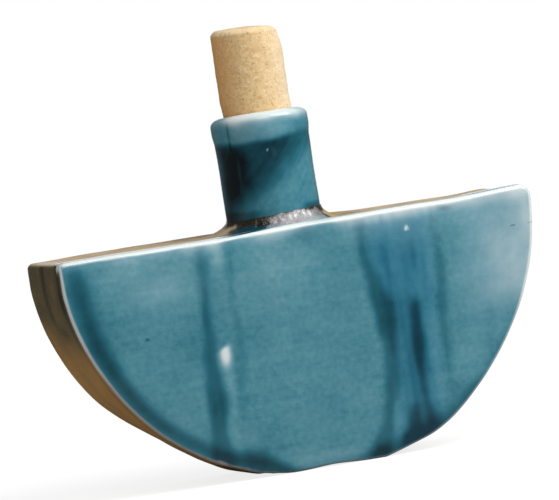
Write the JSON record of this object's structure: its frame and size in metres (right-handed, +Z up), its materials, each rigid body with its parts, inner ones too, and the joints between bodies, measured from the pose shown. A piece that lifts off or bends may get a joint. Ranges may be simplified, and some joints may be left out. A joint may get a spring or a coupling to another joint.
{
  "type": "pilgrim flask",
  "caption": "Half-moon pilgrim flask of slab-built glazed stoneware, with a flat foot, a short collared neck and a pull-out cork stopper.",
  "frame": {"origin": "middle of the flat foot that the flask stands on", "axes": "+X to the right as seen from the front face, +Y from the front face to the back face, +Z up through the neck"},
  "size_m": [0.1718, 0.043, 0.1535],
  "materials": {
    "turquoise_glaze": "gloss",
    "brown_stoneware": "satin",
    "cork": "matte"
  },
  "bodies": {
    "flask": {"front_slab": "turquoise_glaze", "back_slab": "turquoise_glaze", "edge_strip": "brown_stoneware", "top_slab": "brown_stoneware", "neck_tube": "turquoise_glaze", "lip_collar": "turquoise_glaze", "neck_luting_coil": "brown_stoneware", "front_seam_coil": "brown_stoneware", "back_seam_coil": "brown_stoneware", "left_corner_coil": "brown_stoneware", "right_corner_coil": "brown_stoneware"},
    "cork": {"cork_stopper": "cork"}
  },
  "joints": [
    {"name": "cork_pull", "type": "slide", "parent": "flask", "child": "cork", "axis": [0, 0, 1], "range_m": [0, 0.042]}
  ]
}
